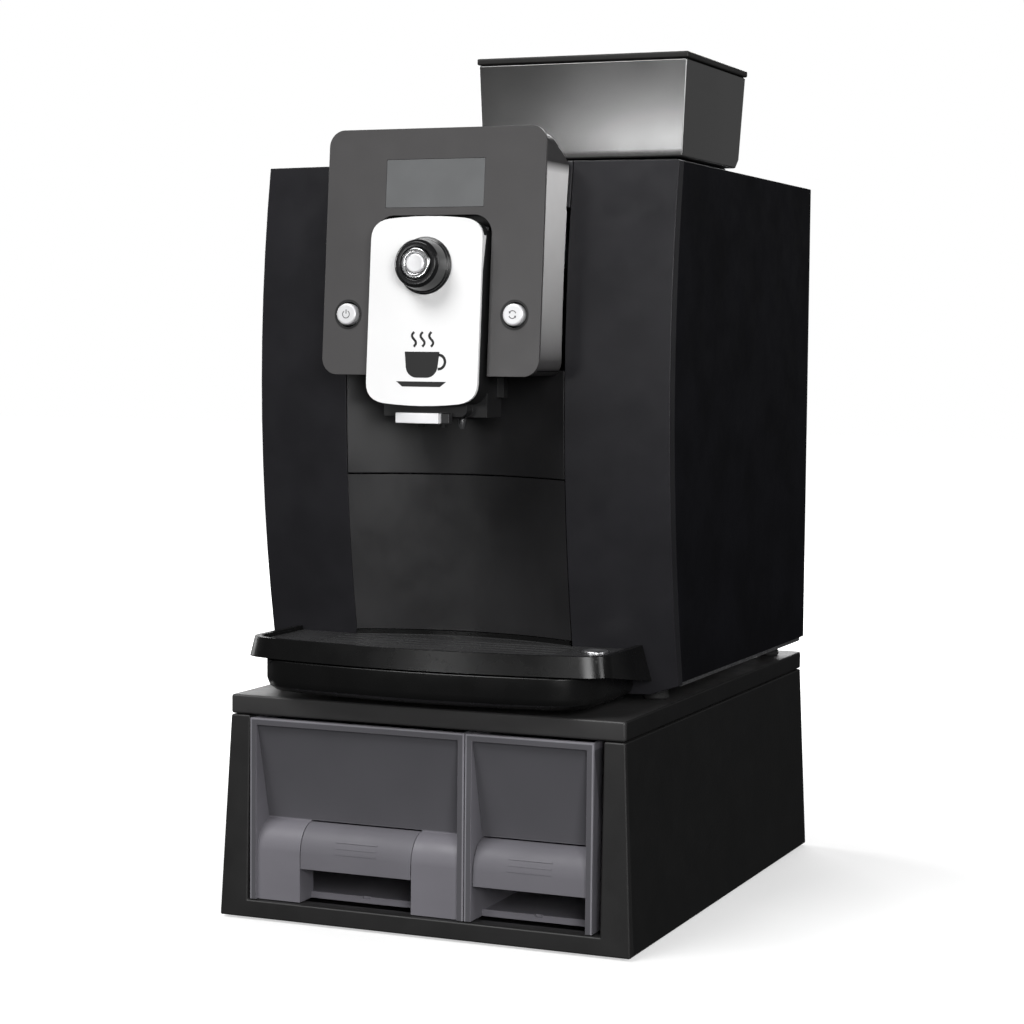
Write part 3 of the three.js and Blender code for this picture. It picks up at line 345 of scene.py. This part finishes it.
def make_finishes():
    """One material for each slot in the record, and a few for pieces that differ within a slot."""
    return {
        "cabinet_black": cabinet("cabinet_black", 0.016, 0.0062),
        # the lid's front is painted lighter than the cabinet's, to offset the shadow the tray casts on it
        "lid_black_painted_light": cabinet("lid_black_painted_light", 0.032, 0.006),
        "casing_black": plastic("casing_black", (0.0155, 0.0152, 0.0173), 0.36, 0.06, grain_size=0.5 * MM,
                                Specular_IOR_Level=0.19),
        "bay_satin": plastic("bay_satin", (0.018, 0.0177, 0.0185), 0.34, 0.05, grain_size=0.5 * MM,
                             Specular_IOR_Level=0.36),
        "panel_texture": plastic("panel_texture", (0.0045, 0.0045, 0.006), 0.58, 0.7, grain_size=0.9 * MM,
                                 mottle=0.2, Specular_IOR_Level=0.08),
        "inner_black": plastic("inner_black", (0.008, 0.008, 0.0085), 0.5, 0.2),
        "knob_gloss": plastic("knob_gloss", (0.008, 0.008, 0.0085), 0.2, 0.03, smudge=0.03, sink=0),
        "housing_satin_painted_highlight": housing_painted_highlight_finish(),
        "display_grey": plastic("display_grey", (0.062, 0.06, 0.0605), 0.34, 0.05, mottle=0.03, smudge=0.03,
                                Specular_IOR_Level=0.35),
        "lcd_grey": display_glass(),
        "faceplate_white": plastic("faceplate_white", (0.82, 0.82, 0.82), 0.2, 0.02, mottle=0.01, smudge=0.03,
                                   sink=0.05, Coat_Weight=0.3, Coat_Roughness=0.05),
        "chrome_trim": plated("chrome_trim", (0.86, 0.86, 0.87), 0.15, streaks=0.01, uneven=0.06),
        "silver_satin": plated("silver_satin", (0.78, 0.78, 0.79), 0.34, streaks=0.05, metal=0.25, uneven=0.1),
        "icon_grey": plastic("icon_grey", (0.1, 0.1, 0.105), 0.5, 0.05),
        # black for printed marks, and for the painted shade rings round the buttons
        "print_and_shade_black": plastic("print_and_shade_black", (0.006, 0.006, 0.006), 0.45, 0.1),
        "lip_satin": lip(),
        "smoked_bin": smoked_bin("left_bin"),
        "smoked_right_bin": smoked_bin("right_bin"),
        # a darker copy of the bins' smoked plastic: painted shade that offsets the stronger light on the flaps'
        # upward-facing curve
        "smoked_flap_painted_shade": plastic("smoked_flap_painted_shade", (0.132, 0.128, 0.143), 0.5, 0.22, grain_size=0.5 * MM,
                               mottle=0.04, Specular_IOR_Level=0.2),
        "smoked_hopper": smoked_hopper(),
        "hopper_lid_satin": plastic("hopper_lid_satin", (0.017, 0.0165, 0.016), 0.42, 0.15,
                                    grain_size=0.5 * MM, Specular_IOR_Level=0.25),
        "tank_clear": clear_tank(),
        "tray_black": tray(),
        "white_moulding": plastic("white_moulding", (0.75, 0.75, 0.72), 0.45, 0.2),
        "steel_sheet": plated("steel_sheet", (0.6, 0.6, 0.61), 0.32, streaks=0.4, stretch=(14, 1, 1)),
        "cast_alloy": plated("cast_alloy", (0.62, 0.63, 0.64), 0.5, streaks=0.9),
        "brass_fittings": plated("brass_fittings", (0.78, 0.56, 0.24), 0.25, streaks=0.3, stretch=(1, 1, 8)),
        "foot_rubber": plastic("foot_rubber", (0.012, 0.012, 0.012), 0.75, 0.9),
        "board_green": circuit_board(),
    }


# ---------------------------------------------------------------- CAD nodes carried over
BEVELS = {  # rounding of each node's edges, in millimetres, where it differs from the usual
    "base_cabinet": 1.2, "base_lid": 1.6, "left_bin": 0.8, "right_bin": 0.8, "left_flap": 0.9,
    "right_flap": 0.9, "fascia_left": 1.0, "fascia_right": 1.0, "fascia_top": 0.8, "bay_cover": 0.8,
    "side_panel_left": 0.7, "side_panel_right": 0.7, "display_panel": 1.1, "display_housing": 1.0,
    "spout_faceplate": 0.9, "drip_tray": 0.9, "tray_cover": 0.7, "hopper_shell": 1.2, "hopper_lid": 1.2,
    "hopper_collar": 0.7, "lcd_window": 0.15, "control_board": 0.3,
}
USUAL_BEVEL = 0.5
OWN_FINISH = {  # nodes whose finish is not simply that of their slot
    "side_panel_left": "panel_texture", "side_panel_right": "panel_texture",
    "display_housing": "housing_satin_painted_highlight", "power_button": "silver_satin", "rinse_button": "silver_satin",
    "spout_lip": "lip_satin", "left_flap": "smoked_flap_painted_shade", "right_flap": "smoked_flap_painted_shade",
    "right_bin": "smoked_right_bin", "hopper_lid": "hopper_lid_satin", "base_lid": "lid_black_painted_light",
    "bay_cover": "bay_satin", "grounds_container": "bay_satin",
}


def refine(name, width):
    """Rounds the edges of a CAD node and shades it smoothly. Its mesh stays as the CAD made it."""
    node = NODES[name]
    node.data.polygons.foreach_set("use_smooth", [True] * len(node.data.polygons))
    weld = node.modifiers.new("weld", "WELD")
    weld.merge_threshold = 0.002 * MM
    merge = node.modifiers.new("merge_flats", "DECIMATE")
    merge.decimate_type = "DISSOLVE"
    merge.angle_limit = math.radians(0.3)
    bevel = node.modifiers.new("bevel", "BEVEL")
    bevel.width = width * MM
    bevel.segments = 2
    bevel.limit_method = "ANGLE"
    bevel.angle_limit = math.radians(27)
    bevel.harden_normals = True
    normals = node.modifiers.new("normals", "WEIGHTED_NORMAL")
    normals.keep_sharp = True


def dress_nodes(finishes):
    slot_of = {part["node"]: part["material_slot"] for part in frame["record"]["subparts"]}
    for name, node in NODES.items():
        refine(name, BEVELS.get(name, USUAL_BEVEL))
        node.data.materials.clear()
        node.data.materials.append(finishes[OWN_FINISH.get(name, slot_of[name])])


# ---------------------------------------------------------------- new pieces
def front_axes():
    """The display and the spout lean back together: across, up along their face, and out of it."""
    out = -PRESS
    across = Vector((1, 0, 0))
    return across, out.cross(across).normalized(), out


def face_point(node, x, up=None):
    """The point of a leaning node's front face that is at x, and up metres above its lowest front point."""
    across, along, out = front_axes()
    points = [node.matrix_world @ vertex.co for vertex in node.data.vertices]
    reach = max(point.dot(out) for point in points)
    heights = [point.dot(along) for point in points]
    height = (min(heights) + max(heights)) / 2 if up is None else min(heights) + up
    return across * x + along * height + out * reach


def leaning_frame(origin):
    """Turns local x across, y up and z outwards onto the leaning front, at origin."""
    across, along, out = front_axes()
    turn = Matrix((across, along, out)).transposed().to_4x4()
    return Matrix.Translation(origin) @ turn


def new_piece(name, mesh, finish, body, smooth=True):
    """A visible piece of the given mesh, with its finish and the body it rides on."""
    mesh.normal_update()
    data = bpy.data.meshes.new(name)
    mesh.to_mesh(data)
    mesh.free()
    data.polygons.foreach_set("use_smooth", [smooth] * len(data.polygons))
    piece = bpy.data.objects.new(name, data)
    bpy.context.scene.collection.objects.link(piece)
    data.materials.append(finish)
    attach(piece, body)
    return piece


def join_loops(mesh, loops):
    """Joins a list of equally long, closed loops of points with quads."""
    rows = [[mesh.verts.new(point) for point in loop] for loop in loops]
    count = len(rows[0])
    for low, high in zip(rows, rows[1:]):
        for i in range(count):
            j = (i + 1) % count
            mesh.faces.new((low[i], low[j], high[j], high[i]))
    return rows


def spin(mesh, profile, sides=ROUND_SIDES):
    """Turns a profile of (radius, height) points in millimetres about local z, open at both ends."""
    angles = [2 * math.pi * i / sides for i in range(sides)]
    return join_loops(mesh, [[Vector((radius * math.cos(a), radius * math.sin(a), height)) * MM for a in angles]
                             for radius, height in profile])


def turned(profile, sides=ROUND_SIDES):
    """A closed turned piece; its profile starts and ends next to the axis."""
    mesh = bmesh.new()
    rows = spin(mesh, profile, sides)
    mesh.faces.new(reversed(rows[0]))
    mesh.faces.new(rows[-1])
    return mesh


def rounded(profile, radius, steps=4):
    """The profile with each inner corner replaced by a short arc-like run of points."""
    def near(corner, other):
        """The point at most radius from the corner towards the other, and short of half way."""
        return corner.lerp(other, min(0.45, radius / max(1e-6, (other - corner).length)))

    points = [Vector(point) for point in profile]
    result = [profile[0]]
    for before, corner, after in zip(points, points[1:], points[2:]):
        start, end = near(corner, before), near(corner, after)
        for i in range(steps + 1):
            t = i / steps
            result.append(tuple(start.lerp(corner, t).lerp(corner.lerp(end, t), t)))
    result.append(profile[-1])
    return result


def ribbon(mesh, path, width, height, closed=False):
    """A flat raised line along local xy points in millimetres: width across, from the face up to height."""
    count = len(path)
    loops = []
    for i, point in enumerate(path):
        before = Vector(path[(i - 1) % count if closed else max(i - 1, 0)])
        after = Vector(path[(i + 1) % count if closed else min(i + 1, count - 1)])
        side = (after - before).normalized().orthogonal() * width / 2
        left, right = Vector(point) + side, Vector(point) - side
        loops.append([Vector((*left, 0)) * MM, Vector((*left, height)) * MM,
                      Vector((*right, height)) * MM, Vector((*right, 0)) * MM])
    if closed:
        loops.append(loops[0])
    rows = join_loops(mesh, loops)
    if not closed:
        mesh.faces.new(rows[0])
        mesh.faces.new(reversed(rows[-1]))


def on_circle(centre, radius, degrees):
    """The point of a circle, in local xy, at that angle."""
    angle = math.radians(degrees)
    return (centre[0] + radius * math.cos(angle), centre[1] + radius * math.sin(angle))


def arc(centre, radius, start, end, steps=24):
    """Points on a circle, in local xy, from start to end degrees."""
    return [on_circle(centre, radius, start + (end - start) * i / steps) for i in range(steps + 1)]


def slab(mesh, outline, height):
    """A flat raised shape, from the face up to height, in millimetres."""
    foot = [mesh.verts.new(Vector((x, y, 0)) * MM) for x, y in outline]
    head = [mesh.verts.new(Vector((x, y, height)) * MM) for x, y in outline]
    mesh.faces.new(reversed(foot))
    mesh.faces.new(head)
    for i in range(len(outline)):
        j = (i + 1) % len(outline)
        mesh.faces.new((foot[i], foot[j], head[j], head[i]))


def settle(mesh, matrix):
    """Closes the mesh's seams, points its faces out and moves it to its place."""
    bmesh.ops.remove_doubles(mesh, verts=mesh.verts, dist=0.001 * MM)
    bmesh.ops.recalc_face_normals(mesh, faces=mesh.faces)
    bmesh.ops.transform(mesh, matrix=matrix, verts=mesh.verts)
    return mesh


def power_mark():
    mesh = bmesh.new()
    ribbon(mesh, arc((0, -0.2), 2.5, 125, 415, 40), 0.55, PRINT_AND_SHADE_HEIGHT)
    ribbon(mesh, [(0, 0.2), (0, 3.0)], 0.6, PRINT_AND_SHADE_HEIGHT)
    return mesh


def rinse_mark():
    """Two arrows chasing each other round a circle."""
    mesh = bmesh.new()
    middle, radius, barb = (0, 0), 2.5, 1.0
    for turn in (0, 180):
        ribbon(mesh, arc(middle, radius, turn + 20, turn + 140, 20), 0.55, PRINT_AND_SHADE_HEIGHT)
        head = [on_circle(middle, radius, turn + 165)]
        head += [on_circle(middle, radius + step, turn + 136) for step in (-barb, 0, barb)]
        slab(mesh, head, PRINT_AND_SHADE_HEIGHT)
    return mesh


def face_middle(name):
    """The middle of a leaning node's front face."""
    low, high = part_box(name)
    return face_point(NODES[name], (low.x + high.x) / 2)


def build_button_marks(finishes):
    for mark, node, make in (("power_mark", "power_button", power_mark),
                             ("rinse_mark", "rinse_button", rinse_mark)):
        mesh = settle(make(), leaning_frame(face_middle(node)))
        new_piece(mark, mesh, finishes["icon_grey"], node + "_body", False)


def build_button_shade_rings(finishes):
    """A thin black ring on the display panel round each button's hole: painted shade for the dark gap round the
    button.
    """
    out = front_axes()[2]
    panel = NODES["display_panel"]
    reach = max(out.dot(panel.matrix_world @ vertex.co) for vertex in panel.data.vertices)
    steps = 48
    for name, node in (("power_shade_ring", "power_button"), ("rinse_shade_ring", "rinse_button")):
        middle = face_middle(node)
        mesh = bmesh.new()
        # painted shade ring round the button's hole
        ribbon(mesh, arc((0, 0), 9.3, 0, 360 - 360 / steps, steps - 1), 1.3, PRINT_AND_SHADE_HEIGHT, closed=True)
        place = leaning_frame(middle + out * (reach - middle.dot(out)))
        new_piece(name, settle(mesh, place), finishes["print_and_shade_black"], "machine", False)


def build_cup_mark(finishes):
    """A plain coffee cup on a saucer, printed on the lower part of the spout plate."""
    mesh = bmesh.new()
    bowl = arc((3.5, 1.5), 8, 0, -90, 10) + arc((-3.5, 1.5), 8, 270, 180, 10)
    slab(mesh, [(-12.5, 10.5), (12.5, 10.5)] + bowl, PRINT_AND_SHADE_HEIGHT)
    ribbon(mesh, arc((12.0, 3.9), 4.6, 95, -95, 24), 1.8, PRINT_AND_SHADE_HEIGHT)
    slab(mesh, [(-18, -9.0), (18, -9.0), (13.5, -12.4), (-13.5, -12.4)], PRINT_AND_SHADE_HEIGHT)
    for x in (-6.2, 0, 6.2):
        wave = [(x + 1.5 * math.sin(math.pi * t / 8), 13.8 + 9.6 * t / 16) for t in range(17)]
        ribbon(mesh, wave, 1.6, PRINT_AND_SHADE_HEIGHT)
    place = leaning_frame(face_point(NODES["spout_faceplate"], 0, 25 * MM))
    new_piece("cup_mark", settle(mesh, place), finishes["print_and_shade_black"], "spout", False)


def build_knob(finishes):
    """Smoothly turned knob, chrome ring and push button, on the CAD pieces' own axis and lengths."""
    low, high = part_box("knob")
    across, along, out = front_axes()
    points = [vertex.co for vertex in NODES["knob"].data.vertices]
    front = max(point.dot(out) for point in points)
    back = min(point.dot(out) for point in points)
    centre = across * ((low.x + high.x) / 2) + along * (sum(p.dot(along) for p in points) / len(points))
    base = leaning_frame(centre + out * front)
    depth = (front - back) / MM
    stem = 8  # length of the stem behind the flange
    flange = depth - stem
    axis = 0.01  # radius of a point next to the axis
    skirt = [(18.9, 0), (18.9, 1.3), (17.9, 1.5), (17.7, 1.9), (18.1, 2.2), (18.0, 3.3), (17.0, 3.6), (16.9, 4.0),
             (17.2, 4.3)]
    knob = [(axis, -depth), (4, -depth), (4, -flange)] + [(radius, up - flange) for radius, up in skirt]
    knob += [(15.8, -2.0), (13.9, 0), (10.9, 0), (10.6, -3.9), (6.8, -3.9), (6.8, -7.5), (axis, -7.5)]
    piece = new_piece("turned_knob", settle(turned(rounded(knob, 0.3)), base), finishes["knob_gloss"],
                      "knob_body")
    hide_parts("knob")

    ring = [(6.75, -3.6), (10.2, -3.6), (10.3, 0.1), (9.5, 0.85), (7.5, 0.85), (6.75, 0.1), (6.75, -3.6)]
    mesh = bmesh.new()
    spin(mesh, rounded(ring, 0.25))
    piece = new_piece("knob_chrome_ring", settle(mesh, base), finishes["chrome_trim"], "knob_body")
    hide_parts("knob_ring")

    cap = [(axis, -5.3), (6.3, -5.3), (6.3, 0.5), (5.5, 1.05), (3.5, 0.9), (axis, 0.8)]
    piece = new_piece("knob_push_cap", settle(turned(rounded(cap, 0.25)), base), finishes["silver_satin"],
                      "knob_button_body")
    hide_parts("knob_button")


def build_grips(finishes):
    """Three raised bars across each push flap, where a finger pushes it in."""
    half, end_radius, height = 15, 0.55, 0.35
    rows = (0.42, 0.55, 0.68)  # heights of the bars, as shares of the flap's
    outline = arc((half, 0), end_radius, -90, 90, 8) + arc((-half, 0), end_radius, 90, 270, 8)
    across = Vector((1, 0, 0))
    for flap in ("left_flap", "right_flap"):
        low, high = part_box(flap)
        grips = bmesh.new()
        for share in rows:
            before = Vector(((low.x + high.x) / 2, low.y - 20 * MM, low.z + share * (high.z - low.z)))
            place, out = NODES[flap].ray_cast(before, Vector((0, 1, 0)))[1:3]
            turn = Matrix((across, out.cross(across), out)).transposed().to_4x4()
            older = len(grips.verts)
            slab(grips, outline, height)
            grips.verts.ensure_lookup_table()
            bmesh.ops.transform(grips, matrix=Matrix.Translation(place) @ turn, verts=grips.verts[older:])
        bmesh.ops.recalc_face_normals(grips, faces=grips.faces)
        new_piece(flap + "_grips", grips, finishes["smoked_flap_painted_shade"], flap + "_body", False)


def build_screws(finishes):
    """Pan-head screws with a cross on their crown, which hold the back panel."""
    low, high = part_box("back_panel")
    profile = [(0.01, -0.4), (3.4, -0.4), (3.4, 0.2), (3.1, 0.9), (2.2, 1.5), (1.1, 1.75), (0.01, 1.8)]
    inset = 7 * MM
    rows = [low.z + share * (high.z - low.z) for share in (0.04, 0.5, 0.965)]
    crown = Matrix.Translation((0, 0, 1.75 * MM))
    grow = Matrix.Diagonal((3.2 * MM, 0.55 * MM, 0.25 * MM, 1))
    for i, (x, z) in enumerate((x, z) for z in rows for x in (low.x + inset, high.x - inset)):
        mesh = turned(profile, 32)
        for turn in (0, 90):
            bar = bmesh.ops.create_cube(mesh, size=1)["verts"]
            place = crown @ Matrix.Rotation(math.radians(turn), 4, "Z") @ grow
            bmesh.ops.transform(mesh, verts=bar, matrix=place)
        place = Matrix.Translation((x, high.y, z)) @ Matrix.Rotation(-math.pi / 2, 4, "X")
        bmesh.ops.transform(mesh, matrix=place, verts=mesh.verts)
        new_piece(f"back_screw_{i + 1}", mesh, finishes["steel_sheet"], "machine")


# ---------------------------------------------------------------- studio
def aim(obj, place, target):
    obj.location = place
    obj.rotation_mode = "QUATERNION"
    obj.rotation_quaternion = (Vector(target) - Vector(place)).to_track_quat("-Z", "Y")


def area_light(name, place, target, size, radiance):
    """A rectangular light, width by height, whose face has the given brightness."""
    data = bpy.data.lights.new(name, "AREA")
    data.shape = "RECTANGLE"
    data.size, data.size_y = size
    data.energy = radiance * math.pi * size[0] * size[1]
    lamp = bpy.data.objects.new(name, data)
    lamp.visible_camera = False
    bpy.context.scene.collection.objects.link(lamp)
    aim(lamp, place, target)


def around(azimuth, distance, height):
    """A point of the studio: degrees from straight ahead of the machine's front towards its right side."""
    angle = math.radians(azimuth)
    return (distance * math.sin(angle), -distance * math.cos(angle), height)


def build_lights():
    middle = (CAD_BOX[0] + CAD_BOX[1]) / 2
    hopper_front, hopper_side = (0.02, 0, 0.565), (0.1, 0.1, 0.565)
    for name, place, target, size, radiance in (
            ("key_high", around(-25, 2.0, 2.5), middle, (1.5, 1.2), 12),
            ("front_right", around(31, 2.4, 0.8), middle, (0.9, 0.9), 13.9),
            ("hopper_card", around(-16.7, 2.5, 0.514), hopper_front, (0.31, 0.265), 15.6),
            ("side_card", around(157, 2.5, 0.7), hopper_side, (1.2, 0.8), 0.13),
            ("edge_strip", around(7.5, 2.4, 0.8), middle, (0.16, 1.2), 3),
            ("right_soft", around(80, 2.3, 1.2), middle, (0.6, 1.2), 8),
            ("back_soft", around(196, 2.6, 1.7), middle, (2.0, 1.5), 6),
            ("left_soft", around(-108, 2.4, 1.0), middle, (1.0, 1.3), 11)):
        area_light(name, place, target, size, radiance)


def build_world():
    """A dark studio to everything it lights, and a white backdrop to the camera."""
    world = bpy.data.worlds.new("studio")
    bpy.context.scene.world = world
    world.use_nodes = True
    nodes, links = world.node_tree.nodes, world.node_tree.links
    fill = nodes["Background"]
    fill.inputs[0].default_value = (0.85, 0.86, 0.88, 1)
    fill.inputs[1].default_value = 0.04
    backdrop = nodes.new("ShaderNodeBackground")
    backdrop.inputs[0].default_value = (1, 1, 1, 1)
    backdrop.inputs[1].default_value = 1.0
    path = nodes.new("ShaderNodeLightPath")
    mix = nodes.new("ShaderNodeMixShader")
    links.new(path.outputs["Is Camera Ray"], mix.inputs[0])
    links.new(fill.outputs[0], mix.inputs[1])
    links.new(backdrop.outputs[0], mix.inputs[2])
    links.new(mix.outputs[0], nodes["World Output"].inputs[0])


def build_floor():
    """A wide pale floor, which the object doesn't mirror."""
    mesh = bpy.data.meshes.new("studio_floor")
    reach = 9.0
    corners = [(-reach, -reach, 0), (reach, -reach, 0), (reach, reach, 0), (-reach, reach, 0)]
    mesh.from_pydata(corners, [], [(0, 1, 2, 3)])
    floor = bpy.data.objects.new("studio_floor", mesh)
    bpy.context.scene.collection.objects.link(floor)
    floor.data.materials.append(floor_paint())
    floor.visible_glossy = False
    floor.visible_diffuse = False


def build_camera():
    """A long lens level with the lower part of the display, to the machine's right, looking slightly down."""
    place = Matrix.Translation((0.6708, -1.6414, 0.39325))
    yaw, pitch, roll = (math.radians(degrees) for degrees in (22.716, 3.917, 0.509))
    data = bpy.data.cameras.new("camera")
    data.lens = 85.7
    data.sensor_width = 36
    camera = bpy.data.objects.new("camera", data)
    bpy.context.scene.collection.objects.link(camera)
    tilt = Matrix.Rotation(math.pi / 2 - pitch, 4, "X") @ Matrix.Rotation(roll, 4, "Z")
    camera.matrix_world = place @ Matrix.Rotation(yaw, 4, "Z") @ tilt
    bpy.context.scene.camera = camera


def build():
    bpy.context.scene.view_settings.view_transform = "Standard"
    finishes = make_finishes()
    build_camera()
    dress_nodes(finishes)
    build_button_marks(finishes)
    build_button_shade_rings(finishes)
    build_cup_mark(finishes)
    build_knob(finishes)
    build_grips(finishes)
    build_screws(finishes)
    build_lights()
    build_world()
    build_floor()


build()
